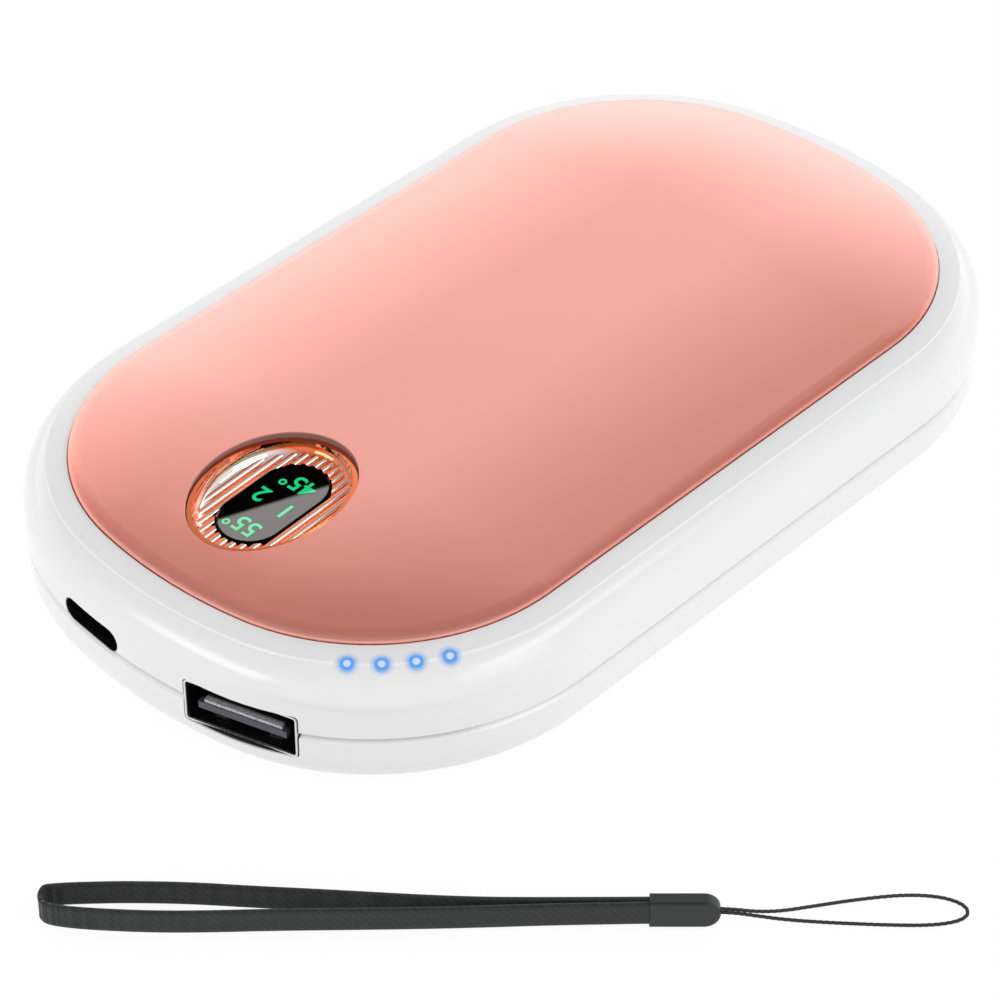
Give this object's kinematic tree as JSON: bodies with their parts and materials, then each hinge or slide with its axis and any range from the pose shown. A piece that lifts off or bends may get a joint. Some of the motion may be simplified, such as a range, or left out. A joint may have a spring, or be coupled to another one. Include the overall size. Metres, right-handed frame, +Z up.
{
  "type": "rechargeable hand warmer",
  "caption": "Pill-shaped rechargeable hand warmer with domed metal heat plates, oval display button, USB sockets, light dots and a wrist strap.",
  "frame": {"origin": "centre of the lower shell's land, on the surface that the warmer rests on", "axes": "+X across the width, +Y along the length away from the sockets, +Z up through the display side"},
  "size_m": [0.1112, 0.137, 0.0184],
  "materials": {
    "white_gloss": "gloss",
    "rose_aluminium": "satin",
    "copper_mirror": "polished",
    "dark_window": "gloss",
    "legend_film": "matte",
    "light_white": "matte",
    "light_pipe": "clear",
    "heater_film": "satin",
    "foam": "matte",
    "cell_foil": "satin",
    "tray_grey": "matte",
    "board_green": "satin",
    "dark_chip": "matte",
    "capacitor_tan": "satin",
    "socket_steel": "satin",
    "socket_plastic": "satin",
    "black_plastic": "satin",
    "contact_brass": "bright",
    "screw_steel": "satin",
    "lead_red": "satin",
    "strap_fabric": "woven",
    "strap_cord_fabric": "woven"
  },
  "bodies": {
    "case": {"upper_shell": "white_gloss", "lower_shell": "white_gloss", "top_plate": "rose_aluminium", "bottom_plate": "rose_aluminium", "top_heater": "heater_film", "bottom_heater": "heater_film", "top_pad": "foam", "bottom_pad": "foam", "thermistor": "dark_chip", "heater_leads": "lead_red", "battery_cell": "cell_foil", "battery_tray": "tray_grey", "battery_leads": "lead_red", "main_board": "board_green", "board_screws": "screw_steel", "power_inductor": "dark_chip", "board_chips": "dark_chip", "board_capacitors": "capacitor_tan", "usb_a_shell": "socket_steel", "usb_a_tongue": "socket_plastic", "usb_a_contacts": "contact_brass", "usb_c_shell": "socket_steel", "usb_c_tongue": "black_plastic", "display_board": "board_green", "display_lamps": "light_white", "display_screws": "screw_steel", "switch_bodies": "socket_steel", "light_pipes": "light_pipe", "indicator_board": "board_green", "indicator_lamps": "light_white", "case_screws": "screw_steel", "lanyard_pin": "screw_steel"},
    "button": {"button_frame": "copper_mirror", "display_window": "dark_window", "display_legend": "legend_film", "light_box": "light_white", "switch_plungers": "black_plastic"},
    "wrist_strap": {"strap_webbing": "strap_fabric", "strap_crimp": "black_plastic", "strap_cord": "strap_cord_fabric"}
  },
  "joints": [
    {"name": "button_press", "type": "slide", "parent": "case", "child": "button", "axis": [0, 0, -1], "range_m": [0, 0.0004], "stiffness_N_per_m": 1500, "springref_m": -0.0003},
    {"name": "strap_lift", "type": "slide", "parent": "case", "child": "wrist_strap", "axis": [0, 0, 1], "range_m": [0, 0.06]}
  ]
}
